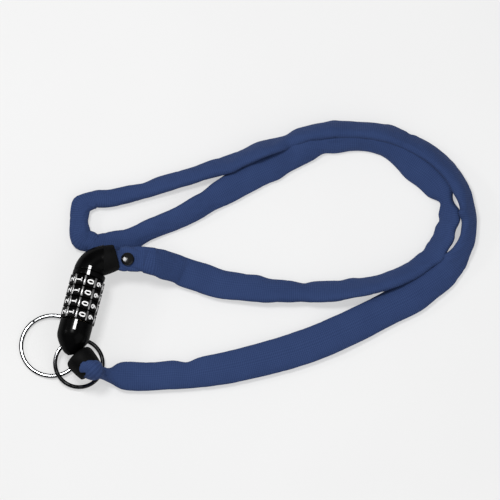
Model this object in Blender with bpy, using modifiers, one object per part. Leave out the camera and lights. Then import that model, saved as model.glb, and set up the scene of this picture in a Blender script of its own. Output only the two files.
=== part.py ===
"""A four-dial combination chain lock in a woven sleeve, with two split rings.

The barrel lies along +Y. Its plug end, at +Y, pulls out along the barrel's axis. Both ends carry
an angled socket: the sleeve over the chain starts in the lower one and comes back to the upper
one. Every place below is measured from the middle of the four dials, and FRAME_SHIFT moves the
whole lock so that the origin is under the middle of the lock and its rings.
"""

import math

import bmesh
import bpy
from mathutils import Matrix, Vector

MM = 0.001
GAP = 0.3 * MM
AXIS = Vector((0, 0, 18.5)) * MM
FRAME_SHIFT = Vector((5.1, 6.8, 0)) * MM

# Dials and the mechanism inside them.
DIALS = 4
PITCH = 7.2 * MM
DIAL_WIDTH = 6.7 * MM
DIAL_FLAT = 10.45 * MM
DIAL_RIB = 11.0 * MM
DIGITS = 10
ZERO_AT = math.radians(13)  # the digit 0, from the top of the barrel towards +X
CODE_RING_WIDTH = 6.2 * MM
CODE_RING_TIP = 7.3 * MM
CODE_RING_ROOT = 6.7 * MM
FLANGE_WIDTH = 2.6 * MM
CHAMBER_TIP = 5.6 * MM
CHAMBER_ROOT = 5.95 * MM
CORE_BORE = 2.4 * MM
CORE_RADIUS = 4.6 * MM
SEAT_RADIUS = CORE_RADIUS + GAP
PIN_RADIUS = 2.0 * MM
FIN_REACH = 5.2 * MM
FIN_WIDTH = 1.4 * MM
FIN_LENGTH = 2.0 * MM
PIN_TIP = -13.0 * MM
PIN_END = 23.8 * MM

# Barrel, along its own axis.
HOUSING_RADIUS = 10.4 * MM
BLOCK_END = DIALS * PITCH / 2 + GAP
HOUSING_STRAIGHT = -23.8 * MM
HOUSING_TIP = -36.4 * MM
CORE_SEAT = -21.0 * MM
COLLAR_END = 18.0 * MM
INDEX_WIDTH = 1.7 * MM

# Sockets: their axis, and the place of their back end on it.
SOCKET_LENGTH = 13.0 * MM
SOCKET_FLOOR = 3.0 * MM
SOCKET_BORE = 6.4 * MM
CROSS_PIN_AT = 7.6 * MM
LOWER_TOWARDS = Vector((0.807, -0.590, 0)).normalized()
LOWER_BACK = AXIS + Vector((6.1, -35.3, 0)) * MM
UPPER_TOWARDS = Vector((0.875, 0.485, 0)).normalized()
UPPER_BACK = AXIS + Vector((2.7, 26.1, 0)) * MM
ELBOW_PLANE = AXIS + Vector((6.65, 28.2, 0)) * MM
ELBOW_NORMAL = Vector((0.970, 0.244, 0)).normalized()

# The strip that ties the sleeve's end to the plug, and its rivet.
STRIP_TOWARDS = Vector((0.986, 0.165, 0)).normalized()
STRIP_LENGTH = 21.0 * MM
RIVET_AT = 12.1 * MM
CUFF_END = 32.5 * MM  # the plane square to X where the cuff ends, so that the plug slides past
CUFF_WIDTH = 16.0 * MM
CUFF_THICKNESS = 7.0 * MM

# Rings, and the steel eye that they hang in.
EYE = Vector((5.3, -22.0, 0)) * MM
EYE_ALONG = Vector((0.435, 0.900, 0)).normalized()
EYE_HALF_WIDTH = 4.4 * MM
EYE_WIRE = 0.9 * MM
EYE_TOP = 13.0 * MM
RING_WIRE = 1.15 * MM
BIG_RING_RADIUS = 19.4 * MM
BIG_RING_HEIGHT = 3.51 * MM  # where its wire runs through the eye, above the floor
SMALL_RING_RADIUS = 15.0 * MM
SMALL_RING_HEIGHT = 6.05 * MM

# The sleeve: a tube over the chain, laid on the floor in one long folded loop.
SLEEVE_RADIUS = 4.0 * MM
SLEEVE_STEP = 15 * MM
LAID = SLEEVE_RADIUS / MM + 0.1
SLEEVE_ROUTE = [
    (16.5, -42.9, 18.5),
    (19.0, -44.2, 17.6),
    (22.8, -42.8, 12.6),
    (28.6, -40.7, 7.0),
    (36.8, -38.0, 4.7),
    (58.0, -32.0, LAID),
    (100.0, -15.0, LAID),
    (154.0, 17.0, LAID),
    (210.0, 67.0, LAID),
    (222.0, 90.0, LAID),
    (223.0, 112.0, LAID),
    (213.0, 132.0, LAID),
    (195.0, 146.0, LAID),
    (170.0, 153.0, LAID),
    (142.0, 152.0, LAID),
    (109.0, 141.0, LAID),
    (75.0, 116.0, LAID),
    (9.0, 75.0, LAID),
    (-10.5, 68.8, LAID),
    (-17.2, 60.0, LAID),
    (-13.0, 43.5, LAID),
    (-5.5, 40.2, LAID),
    (4.0, 42.0, LAID),
    (43.0, 68.0, LAID),
    (71.0, 95.0, LAID),
    (103.0, 125.0, LAID),
    (131.0, 140.0, LAID),
    (159.0, 144.0, LAID),
    (195.0, 131.5, LAID),
    (208.0, 112.0, LAID),
    (208.5, 94.0, LAID),
    (197.0, 74.0, LAID),
    (176.0, 57.0, LAID),
    (147.0, 46.0, LAID),
    (110.0, 37.0, LAID),
    (64.0, 35.5, 4.7),
    (52.0, 35.9, 8.2),
    (43.0, 34.9, 14.5),
    (36.8, 33.5, 18.5),
    (32.8, 33.5, 18.5),
]

GLOSS_BLACK = ("gloss_black", (0.010, 0.010, 0.011), 0.12, 0.0)
MATTE_BLACK = ("matte_black", (0.018, 0.018, 0.019), 0.55, 0.0)
STEEL = ("steel", (0.60, 0.61, 0.62), 0.28, 1.0)
CHROME = ("chrome", (0.80, 0.81, 0.83), 0.08, 1.0)
ZINC = ("zinc", (0.48, 0.48, 0.47), 0.40, 1.0)
BRASS = ("brass", (0.62, 0.45, 0.20), 0.35, 1.0)
WHITE_INK = ("white_ink", (0.86, 0.86, 0.85), 0.40, 0.0)
BLUE_CLOTH = ("blue_cloth", (0.030, 0.053, 0.150), 0.80, 0.0)


def clear_scene():
    for obj in list(bpy.data.objects):
        bpy.data.objects.remove(obj, do_unlink=True)


def collection(name):
    made = bpy.data.collections.new(name)
    bpy.context.scene.collection.children.link(made)
    return made


def material(spec, node):
    name, colour, roughness, metallic = spec
    made = bpy.data.materials.new(f"{node}_{name}")
    made.use_nodes = True
    shader = made.node_tree.nodes["Principled BSDF"]
    shader.inputs["Base Color"].default_value = (*colour, 1.0)
    shader.inputs["Roughness"].default_value = roughness
    shader.inputs["Metallic"].default_value = metallic
    return made


def add_node(name, data, spec):
    """One sub-part: an object of the lock's collection with a material of its own."""
    obj = bpy.data.objects.new(name, data)
    obj.data.materials.append(material(spec, name))
    bpy.data.collections["chain_lock"].objects.link(obj)
    return obj


def add_cutter(name, data):
    obj = bpy.data.objects.new(name, data)
    obj.hide_render = True
    obj.display_type = "WIRE"
    bpy.data.collections["cutters"].objects.link(obj)
    return obj


def mesh_from(bm, name):
    mesh = bpy.data.meshes.new(name)
    bm.to_mesh(mesh)
    bm.free()
    return mesh


def box_mesh(name, low, high):
    """A box between two corners in the object's own axes."""
    low, high = Vector(low), Vector(high)
    bm = bmesh.new()
    stretch = Matrix.Diagonal((*(high - low), 1))
    bmesh.ops.create_cube(bm, size=1, matrix=Matrix.Translation((low + high) / 2) @ stretch)
    return mesh_from(bm, name)


def cylinder_mesh(name, radius, bottom, top, segments=20):
    """A cylinder about the object's own Z axis."""
    bm = bmesh.new()
    middle = Matrix.Translation((0, 0, (bottom + top) / 2))
    bmesh.ops.create_cone(
        bm,
        cap_ends=True,
        segments=segments,
        radius1=radius,
        radius2=radius,
        depth=top - bottom,
        matrix=middle,
    )
    return mesh_from(bm, name)


def profile_mesh(name, points, closed):
    """The outline of a turned piece, as edges in the XZ plane: x is the radius, z the height."""
    bm = bmesh.new()
    verts = [bm.verts.new((radius, 0, height)) for radius, height in points]
    for a, b in zip(verts, verts[1:]):
        bm.edges.new((a, b))
    if closed:
        bm.edges.new((verts[-1], verts[0]))
    return mesh_from(bm, name)


def spin(obj, segments):
    screw = obj.modifiers.new("turn", "SCREW")
    screw.axis = "Z"
    screw.steps = segments
    screw.render_steps = segments
    screw.use_merge_vertices = True
    screw.merge_threshold = 0.00001
    return obj


def boolean(obj, cutter, operation="DIFFERENCE"):
    modifier = obj.modifiers.new(operation.lower(), "BOOLEAN")
    modifier.operation = operation
    modifier.solver = "EXACT"
    modifier.object = cutter
    return obj


def place(obj, at, towards=None):
    """Puts an object at a point, with its own Z axis along a direction and its X axis level."""
    obj.location = at
    if towards is not None:
        z = Vector(towards).normalized()
        level = Vector((0, 0, 1)).cross(z)
        x = level.normalized() if level.length > 0 else Vector((1, 0, 0))
        axes = Matrix((x, z.cross(x), z)).transposed()
        obj.rotation_mode = "QUATERNION"
        obj.rotation_quaternion = axes.to_quaternion()
    return obj


def along_barrel(obj):
    """Puts an object on the barrel: its own Z axis runs along +Y and its own Y axis points up."""
    obj.location = AXIS
    obj.rotation_euler = (math.pi / 2, 0, math.pi)
    return obj


def baked(obj):
    """The object with its modifiers or its bevel turned into plain faces."""
    bpy.context.view_layer.update()
    evaluated = obj.evaluated_get(bpy.context.evaluated_depsgraph_get())
    mesh = bpy.data.meshes.new_from_object(evaluated)
    bm = bmesh.new()
    bm.from_mesh(mesh)
    bmesh.ops.remove_doubles(bm, verts=bm.verts, dist=0.00001)
    bm.to_mesh(mesh)
    bm.free()
    return mesh


def turned(name, points, spec, segments=32, closed=False):
    return spin(add_node(name, profile_mesh(name, points, closed), spec), segments)


def turned_cutter(name, points, segments=32):
    return spin(add_cutter(name, profile_mesh(name, points, False)), segments)


# ---------------------------------------------------------------- barrel


def lower_housing():
    """The fixed end of the barrel: a blind seat for the core, and a domed foot cut for the socket."""
    chamfer = 0.4 * MM
    obj = turned(
        "lower_housing",
        [
            (0, CORE_SEAT),
            (SEAT_RADIUS, CORE_SEAT),
            (SEAT_RADIUS, -BLOCK_END),
            (HOUSING_RADIUS - chamfer, -BLOCK_END),
            (HOUSING_RADIUS, -BLOCK_END - chamfer),
            (HOUSING_RADIUS, HOUSING_STRAIGHT),
            (9.8 * MM, -26.2 * MM),
            (8.2 * MM, -29.2 * MM),
            (5.8 * MM, -32.4 * MM),
            (3.0 * MM, -35.2 * MM),
            (0, HOUSING_TIP),
        ],
        GLOSS_BLACK,
        40,
    )
    along_barrel(obj)
    socket_room = box_mesh("socket_room", (-0.02, -0.02, -2.0 * MM), (0.02, 0.02, 0.02))
    boolean(obj, place(add_cutter("socket_room", socket_room), LOWER_BACK, LOWER_TOWARDS))
    boolean(obj, index_room("index_room_lower", -21.6 * MM, -BLOCK_END + 0.002))
    for side in (-1, 1):
        hole = cylinder_mesh(f"eye_hole_{side}", EYE_WIRE + GAP, 2 * MM, EYE_TOP + GAP, 12)
        at = EYE + EYE_ALONG * side * EYE_HALF_WIDTH
        boolean(obj, place(add_cutter(f"eye_hole_{side}", hole), at))
    return obj


def upper_collar():
    """The fixed ring above the dials, slotted inside so that the pin's fins can leave."""
    chamfer = 0.4 * MM
    obj = turned(
        "upper_collar",
        [
            (SEAT_RADIUS, COLLAR_END),
            (HOUSING_RADIUS - chamfer, COLLAR_END),
            (HOUSING_RADIUS, COLLAR_END - chamfer),
            (HOUSING_RADIUS, BLOCK_END + chamfer),
            (HOUSING_RADIUS - chamfer, BLOCK_END),
            (SEAT_RADIUS, BLOCK_END),
        ],
        GLOSS_BLACK,
        40,
        closed=True,
    )
    along_barrel(obj)
    boolean(obj, fin_slot("collar_slot", BLOCK_END - 0.001, COLLAR_END + 0.001))
    boolean(obj, index_room("index_room_collar", BLOCK_END - 0.002, COLLAR_END + 0.002))
    return obj


def fin_slot(name, start, end):
    """The gate that the pin's fins pass, open towards the top of the barrel."""
    half = FIN_WIDTH / 2 + GAP
    cut = box_mesh(name, (-half, 3 * MM, start), (half, FIN_REACH + 0.45 * MM, end))
    return along_barrel(add_cutter(name, cut))


def index_room(name, start, end):
    half = INDEX_WIDTH / 2 + 0.15 * MM
    cut = box_mesh(name, (-half, HOUSING_RADIUS - 0.6 * MM, start), (half, 12 * MM, end))
    return along_barrel(add_cutter(name, cut))


def index_mark(name, start, end):
    """A white bar let into the top of the barrel, next to the dials."""
    half = INDEX_WIDTH / 2
    low = HOUSING_RADIUS - 0.4 * MM
    bar = box_mesh(name, (-half, low, start), (half, HOUSING_RADIUS + 0.1 * MM, end))
    return along_barrel(add_node(name, bar, WHITE_INK))


def core_tube():
    """The fixed spindle that the code rings turn on, slotted along its top for the fins."""
    top = COLLAR_END - GAP
    bottom = CORE_SEAT + GAP
    obj = turned(
        "core_tube",
        [(CORE_BORE, top), (CORE_RADIUS, top), (CORE_RADIUS, bottom), (CORE_BORE, bottom)],
        ZINC,
        32,
        closed=True,
    )
    along_barrel(obj)
    half = 1.0 * MM
    slot = box_mesh("core_slot", (-half, 0.5 * MM, PIN_TIP - 1 * MM), (half, 6 * MM, 0.02))
    boolean(obj, along_barrel(add_cutter("core_slot", slot)))
    groove = box_mesh("leaf_groove", (-1.6 * MM, -6 * MM, -0.0145), (1.6 * MM, -3.85 * MM, 0.0145))
    boolean(obj, along_barrel(add_cutter("leaf_groove", groove)))
    return obj


def detent_leaf():
    """A spring strip under the spindle, with one bump in each code ring's notches."""
    half = 1.3 * MM
    strip = box_mesh("detent_leaf", (-half, -4.5 * MM, -0.0142), (half, -4.15 * MM, 0.0142))
    obj = along_barrel(add_node("detent_leaf", strip, STEEL))
    bumps = bmesh.new()
    for centre in dial_centres():
        middle = Matrix.Translation((0, -4.75 * MM, centre - 1.3 * MM))
        size = Matrix.Diagonal((1.6 * MM, 1.2 * MM, 1.6 * MM, 1))
        bmesh.ops.create_cube(bumps, size=1, matrix=middle @ size)
    bump_cutter = along_barrel(add_cutter("leaf_bumps", mesh_from(bumps, "leaf_bumps")))
    return boolean(obj, bump_cutter, "UNION")


# ---------------------------------------------------------------- dials


def dial_centres():
    return [(DIALS - 1) * PITCH / 2 - i * PITCH for i in range(DIALS)]


def star(tip, root, turn):
    """A closed outline with ten tips, where the first tip is at the given angle."""
    step = math.tau / DIGITS
    points = []
    for k in range(DIGITS):
        points.append((tip, turn + k * step))
        points.append((root, turn + (k + 0.5) * step))
    return points


def dial_outline():
    """Ten flats for the digits, with a narrow rib between each two. In the dial's own XY plane
    +Y is up, and the first flat's middle is where the digit 0 stands."""
    degree = math.radians(1)
    points = []
    for k in range(DIGITS):
        middle = math.pi / 2 + ZERO_AT + k * math.tau / DIGITS
        for turn, radius in ((-12, DIAL_FLAT), (0, DIAL_FLAT + 0.1 * MM), (12, DIAL_FLAT)):
            points.append((radius, middle + turn * degree))
        points.append((DIAL_RIB, middle + 16 * degree))
        points.append((DIAL_RIB, middle + 20 * degree))
    return points


def add_outline(curve, polar_points):
    spline = curve.splines.new("POLY")
    spline.points.add(len(polar_points) - 1)
    for point, (radius, angle) in zip(spline.points, polar_points):
        point.co = (radius * math.cos(angle), radius * math.sin(angle), 0, 1)
    spline.use_cyclic_u = True


def plate_mesh(name, outlines, thickness):
    """A flat outline with its holes, given its thickness, as a closed mesh."""
    curve = bpy.data.curves.new(name, "CURVE")
    curve.dimensions = "2D"
    curve.fill_mode = "BOTH"
    curve.extrude = thickness / 2
    for outline in outlines:
        add_outline(curve, outline)
    guide = add_cutter(f"{name}_outline", curve)
    mesh = baked(guide)
    bpy.data.objects.remove(guide)
    return mesh


def dials():
    """Four grip rings with ten flats each, whose bores are keyed to their code rings."""
    key = star(CODE_RING_TIP + GAP, CODE_RING_ROOT + GAP, 0)
    shape = plate_mesh("dial", [dial_outline(), key], DIAL_WIDTH)
    for i, centre in enumerate(dial_centres(), start=1):
        obj = along_barrel(add_node(f"dial_{i}", shape.copy(), GLOSS_BLACK))
        obj.location.y += centre
        bevel = obj.modifiers.new("round", "BEVEL")
        bevel.width = 0.35 * MM
        bevel.segments = 1
        bevel.limit_method = "ANGLE"
        bevel.angle_limit = math.radians(60)


def code_ring_shape():
    """A code ring: keyed outside, with a gated flange towards the plug and a notched chamber."""
    half = CODE_RING_WIDTH / 2
    blank = plate_mesh("code_ring", [star(CODE_RING_TIP, CODE_RING_ROOT, 0)], CODE_RING_WIDTH)
    solid = add_cutter("code_ring_solid", blank)
    bore = cylinder_mesh("code_bore", SEAT_RADIUS, -half - 0.001, half + 0.001, 32)
    boolean(solid, add_cutter("code_bore", bore))
    chamber_depth = 2 * (CODE_RING_WIDTH - FLANGE_WIDTH)
    notches = star(CHAMBER_ROOT, CHAMBER_TIP, math.pi / 2)
    chamber = add_cutter("code_chamber", plate_mesh("code_chamber", [notches], chamber_depth))
    chamber.location.z = -half
    boolean(solid, chamber)
    wide = FIN_WIDTH / 2 + GAP
    gate = box_mesh("code_gate", (-wide, 3 * MM, 0), (wide, FIN_REACH + 0.5 * MM, half + 0.001))
    boolean(solid, add_cutter("code_gate", gate))
    return baked(solid)


def code_rings():
    shape = code_ring_shape()
    for i, centre in enumerate(dial_centres(), start=1):
        obj = along_barrel(add_node(f"code_ring_{i}", shape.copy(), BRASS))
        obj.location.y += centre


# ---------------------------------------------------------------- sockets


def socket_points():
    """The outline of a socket from the middle of its floor, round its mouth, to its back."""
    return [
        (0, SOCKET_FLOOR),
        (SOCKET_BORE - 0.2 * MM, SOCKET_FLOOR),
        (SOCKET_BORE, SOCKET_LENGTH),
        (7.7 * MM, SOCKET_LENGTH),
        (8.2 * MM, SOCKET_LENGTH - 0.5 * MM),
        (8.9 * MM, 9.0 * MM),
        (9.4 * MM, 4.0 * MM),
        (9.4 * MM, 1.8 * MM),
        (8.4 * MM, -0.5 * MM),
        (5.4 * MM, -1.7 * MM),
        (0, -1.7 * MM),
    ]


def cross_pin(name, back, towards):
    """A steel pin across a socket, blind at both ends, and the room for it in the walls."""
    at = back + towards * CROSS_PIN_AT
    reach = 7.3 * MM
    pin = add_node(name, cylinder_mesh(name, 1.4 * MM, -reach, reach, 16), STEEL)
    room_name = f"{name}_room"
    room = cylinder_mesh(room_name, 1.4 * MM + GAP, -reach - GAP, reach + GAP, 16)
    place(pin, at)
    return place(add_cutter(room_name, room), at)


def lower_socket():
    obj = place(turned("lower_socket", socket_points(), MATTE_BLACK), LOWER_BACK, LOWER_TOWARDS)
    boolean(obj, cross_pin("lower_cross_pin", LOWER_BACK, LOWER_TOWARDS))
    return obj


def chain_end_link():
    """The chain's last link, a round one, on the lower socket's cross pin."""
    bpy.ops.mesh.primitive_torus_add(
        major_radius=3.4 * MM, minor_radius=1.1 * MM, major_segments=24, minor_segments=8
    )
    made = bpy.context.object
    obj = add_node("chain_end_link", made.data, STEEL)
    bpy.data.objects.remove(made)
    return place(obj, LOWER_BACK + LOWER_TOWARDS * (CROSS_PIN_AT + 0.5 * MM))


def beyond_elbow(name, offset, side):
    """A large box that fills the space on one side of the plane between elbow and socket."""
    reach = 0.06
    low = offset if side > 0 else -reach
    high = reach if side > 0 else offset
    cut = box_mesh(name, (-reach, -reach, low), (reach, reach, high))
    return place(add_cutter(name, cut), ELBOW_PLANE, ELBOW_NORMAL)


def upper_socket():
    obj = place(turned("upper_socket", socket_points(), MATTE_BLACK), UPPER_BACK, UPPER_TOWARDS)
    boolean(obj, beyond_elbow("elbow_side", GAP / 2, -1))
    boolean(obj, cross_pin("upper_cross_pin", UPPER_BACK, UPPER_TOWARDS))
    return obj


# ---------------------------------------------------------------- plug


def plug_elbow():
    """The glossy head of the plug: a short dome on the barrel's axis, turning into the socket."""
    seam = COLLAR_END + GAP
    obj = turned(
        "plug_elbow",
        [
            (0, 33.0 * MM),
            (3.4 * MM, 32.3 * MM),
            (6.2 * MM, 29.9 * MM),
            (8.0 * MM, 27.0 * MM),
            (9.2 * MM, 23.6 * MM),
            (10.2 * MM, seam + 0.4 * MM),
            (9.8 * MM, seam),
            (0, seam),
        ],
        GLOSS_BLACK,
        40,
    )
    along_barrel(obj)
    neck = turned_cutter(
        "elbow_neck",
        [(0, 13 * MM), (9.6 * MM, 13 * MM), (9.4 * MM, 4 * MM), (7.4 * MM, -6 * MM), (0, -6 * MM)],
    )
    boolean(obj, place(neck, UPPER_BACK, UPPER_TOWARDS), "UNION")
    boolean(obj, beyond_elbow("socket_side", -GAP / 2, 1))
    below = box_mesh("below_seam", (-0.03, -0.03, -0.03), (0.03, 0.03, seam))
    boolean(obj, along_barrel(add_cutter("below_seam", below)))
    pin_room = cylinder_mesh("pin_room", PIN_RADIUS + GAP, 0.01, PIN_END + GAP)
    boolean(obj, along_barrel(add_cutter("pin_room", pin_room)))
    boolean(obj, index_room("index_room_plug", seam - 0.002, 20.9 * MM))
    return obj


def bolt_pin():
    """The plug's steel pin, with one fin for each code ring, all in line along its top."""
    taper = 0.8 * MM
    obj = turned(
        "bolt_pin",
        [
            (0, PIN_END),
            (PIN_RADIUS, PIN_END),
            (PIN_RADIUS, PIN_TIP + taper),
            (PIN_RADIUS - taper, PIN_TIP),
            (0, PIN_TIP),
        ],
        STEEL,
        20,
    )
    along_barrel(obj)
    fins = bmesh.new()
    for centre in dial_centres():
        middle = Matrix.Translation((0, (1 * MM + FIN_REACH) / 2, centre - 1.3 * MM))
        size = Matrix.Diagonal((FIN_WIDTH, FIN_REACH - 1 * MM, FIN_LENGTH, 1))
        bmesh.ops.create_cube(fins, size=1, matrix=middle @ size)
    return boolean(obj, along_barrel(add_cutter("fins", mesh_from(fins, "fins"))), "UNION")


def strip_origin():
    return UPPER_BACK + UPPER_TOWARDS * CROSS_PIN_AT


def along_strip(obj):
    """Puts an object on the strip: its own X axis runs along it and its Z axis points up."""
    obj.location = strip_origin()
    obj.rotation_euler = (0, 0, math.atan2(STRIP_TOWARDS.y, STRIP_TOWARDS.x))
    return obj


def tie_strip():
    """A flat steel strip from the upper cross pin into the end of the sleeve."""
    half = 3.5 * MM
    thick = 1.2 * MM
    strip = box_mesh("tie_strip", (-2.4 * MM, -half, -thick), (STRIP_LENGTH, half, thick))
    obj = along_strip(add_node("tie_strip", strip, STEEL))
    for x, radius in ((0, 1.4 * MM), (RIVET_AT, 1.7 * MM)):
        name = f"strip_hole_{round(x / MM)}"
        hole = cylinder_mesh(name, radius + GAP, -3 * MM, 3 * MM, 16)
        hole.transform(Matrix.Translation((x, 0, 0)))
        boolean(obj, along_strip(add_cutter(name, hole)))
    return obj


def sleeve_cuff():
    """The flat end of the sleeve, folded round the strip and held by the rivet."""
    half = CUFF_WIDTH / 2
    thick = CUFF_THICKNESS / 2
    block = box_mesh("sleeve_cuff", (4 * MM, -half, -thick), (30 * MM, half, thick))
    obj = along_strip(add_node("sleeve_cuff", block, BLUE_CLOTH))
    bevel = obj.modifiers.new("round", "BEVEL")
    bevel.width = 2.4 * MM
    bevel.segments = 2
    strip_room = box_mesh(
        "strip_room", (0, -3.8 * MM, -1.5 * MM), (STRIP_LENGTH + GAP, 3.8 * MM, 1.5 * MM)
    )
    boolean(obj, along_strip(add_cutter("strip_room", strip_room)))
    hole = cylinder_mesh("rivet_room", 1.7 * MM + GAP, -0.01, 0.01, 16)
    hole.transform(Matrix.Translation((RIVET_AT, 0, 0)))
    boolean(obj, along_strip(add_cutter("rivet_room", hole)))
    mouth = SOCKET_LENGTH + GAP
    socket_side = box_mesh("cuff_socket_side", (-0.03, -0.03, -0.03), (0.03, 0.03, mouth))
    boolean(obj, place(add_cutter("cuff_socket_side", socket_side), UPPER_BACK, UPPER_TOWARDS))
    far_side = box_mesh("cuff_far_side", (CUFF_END, 0, 0), (CUFF_END + 0.03, 0.06, 0.03))
    return boolean(obj, add_cutter("cuff_far_side", far_side))


def sleeve_rivet():
    """A black rivet with a domed head on each face of the sleeve."""
    face = CUFF_THICKNESS / 2 + GAP
    shank = 1.7 * MM
    head = [(4.1, 0.3), (3.4, 1.6), (2.0, 2.5), (0, 2.9)]
    top = [(r * MM, face + h * MM) for r, h in reversed(head)]
    bottom = [(r * MM, -face - h * MM) for r, h in head]
    points = [*top, (4.1 * MM, face), (shank, face), (shank, -face), (4.1 * MM, -face), *bottom]
    obj = turned("sleeve_rivet", points, GLOSS_BLACK, 24)
    return place(obj, strip_origin() + STRIP_TOWARDS * RIVET_AT)


# ---------------------------------------------------------------- rings


def wire_curve(name, points, radius, resolution=2):
    curve = bpy.data.curves.new(name, "CURVE")
    curve.dimensions = "3D"
    curve.bevel_depth = radius
    curve.bevel_resolution = resolution
    curve.use_fill_caps = True
    spline = curve.splines.new("POLY")
    spline.points.add(len(points) - 1)
    for point, place_of in zip(spline.points, points):
        point.co = (*place_of, 1)
    return curve


def ring_eye():
    """A steel staple under the barrel, which both rings run through."""
    low = EYE_WIRE + GAP
    corner = 1.8 * MM
    points = []
    for side in (-1, 1):
        leg = [(EYE_HALF_WIDTH, EYE_TOP)]
        for step in range(4):
            turn = math.radians(30 * step)
            across = EYE_HALF_WIDTH - corner + corner * math.cos(turn)
            leg.append((across, low + corner - corner * math.sin(turn)))
        leg = leg if side < 0 else leg[::-1]
        for across, height in leg:
            points.append(EYE + EYE_ALONG * side * across + Vector((0, 0, height)))
    return add_node("ring_eye", wire_curve("ring_eye", points, EYE_WIRE), STEEL)


def split_ring(name, radius, height, centre, slope):
    """A ring whose origin is where it runs through the eye. Its own Y axis points outward there,
    and its own Z axis is square to its plane, which leans by the two slopes along X and Y."""
    up = Vector((-slope[0], -slope[1], 1)).normalized()
    inward = Vector((centre[0], centre[1], 0)) * MM - EYE
    inward = (inward - up * inward.dot(up)).normalized()
    axes = Matrix((up.cross(inward), -inward, up)).transposed()
    bpy.ops.mesh.primitive_torus_add(
        major_radius=radius, minor_radius=RING_WIRE, major_segments=44, minor_segments=8
    )
    made = bpy.context.object
    made.data.transform(Matrix.Translation((0, -radius, 0)))
    obj = add_node(name, made.data, CHROME)
    bpy.data.objects.remove(made)
    obj.location = EYE + Vector((0, 0, height))
    obj.rotation_mode = "QUATERNION"
    obj.rotation_quaternion = axes.to_quaternion()
    return obj


# ---------------------------------------------------------------- sleeve


def smooth_route(points, step):
    """Points about a step apart on the smooth curve (Catmull-Rom) through the given points."""
    stops = [2 * points[0] - points[1], *points, 2 * points[-1] - points[-2]]
    made = []
    for a, b, c, d in zip(stops, stops[1:], stops[2:], stops[3:]):
        pieces = max(1, round((c - b).length / step))
        for k in range(pieces):
            t = k / pieces
            linear = (c - a) * t
            square = (2 * a - 5 * b + 4 * c - d) * t**2
            cube = (3 * b - a - 3 * c + d) * t**3
            made.append((2 * b + linear + square + cube) / 2)
    return [*made, points[-1]]


def sleeve():
    points = smooth_route([Vector(p) * MM for p in SLEEVE_ROUTE], SLEEVE_STEP)
    return add_node("sleeve", wire_curve("sleeve", points, SLEEVE_RADIUS), BLUE_CLOTH)


def build():
    clear_scene()
    collection("chain_lock")
    collection("cutters")
    lower_housing()
    upper_collar()
    core_tube()
    detent_leaf()
    index_mark("index_lower", -21.45 * MM, -BLOCK_END - 0.1 * MM)
    index_mark("index_collar", BLOCK_END + 0.1 * MM, COLLAR_END - 0.1 * MM)
    index_mark("index_plug", COLLAR_END + GAP + 0.1 * MM, 20.75 * MM)
    dials()
    code_rings()
    lower_socket()
    chain_end_link()
    plug_elbow()
    upper_socket()
    bolt_pin()
    tie_strip()
    sleeve_cuff()
    sleeve_rivet()
    ring_eye()
    split_ring("big_ring", BIG_RING_RADIUS, BIG_RING_HEIGHT, (-12.6, -29.5), (0.056, 0.024))
    split_ring("small_ring", SMALL_RING_RADIUS, SMALL_RING_HEIGHT, (7.0, -37.0), (-0.11, 0.09))
    sleeve()
    for obj in bpy.data.objects:
        obj.location += FRAME_SHIFT
    for name in ("big_ring", "small_ring", "chain_end_link"):
        bpy.data.objects[name].data.shade_smooth()


build()
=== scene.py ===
"""Looks for the chain lock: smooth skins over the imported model, printed digits, split rings, and the
woven sleeve. Lengths in the constants are in millimetres, in part.py's own barrel frame, and SHIFT
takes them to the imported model's frame."""

import math

import bmesh
import bpy
from mathutils import Euler, Matrix, Vector, noise

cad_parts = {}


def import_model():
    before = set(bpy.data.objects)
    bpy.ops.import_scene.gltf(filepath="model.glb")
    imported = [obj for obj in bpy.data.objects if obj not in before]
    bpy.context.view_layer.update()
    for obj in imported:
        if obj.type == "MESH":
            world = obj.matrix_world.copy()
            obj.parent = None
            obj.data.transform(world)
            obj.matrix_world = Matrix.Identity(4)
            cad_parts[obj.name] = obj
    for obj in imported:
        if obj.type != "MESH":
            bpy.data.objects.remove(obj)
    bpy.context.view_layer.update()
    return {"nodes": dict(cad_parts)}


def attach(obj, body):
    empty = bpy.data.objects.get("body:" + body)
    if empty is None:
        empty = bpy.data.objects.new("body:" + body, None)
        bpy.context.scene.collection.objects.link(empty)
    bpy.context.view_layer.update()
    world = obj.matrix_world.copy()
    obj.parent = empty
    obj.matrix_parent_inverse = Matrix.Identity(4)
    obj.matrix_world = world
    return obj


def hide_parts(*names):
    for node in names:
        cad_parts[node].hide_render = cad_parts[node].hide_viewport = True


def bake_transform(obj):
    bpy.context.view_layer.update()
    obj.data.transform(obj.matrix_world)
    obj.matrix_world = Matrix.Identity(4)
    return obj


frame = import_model()

MM = 0.001
SHIFT = Vector((5.1, 6.8, 0))
AXIS = Vector((0, 0, 18.5))

# ---------------------------------------------------------------- camera and the sleeve's route

CAMERA_AIM = Vector((93.2, 61.2, 0))
CAMERA_ELEVATION = math.radians(77)
CAMERA_UP = Vector((-0.242, 0.970, 0)).normalized()
CAMERA_DISTANCE = 9000
VIEW_WIDTH = 315
SENSOR_WIDTH = 36

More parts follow.
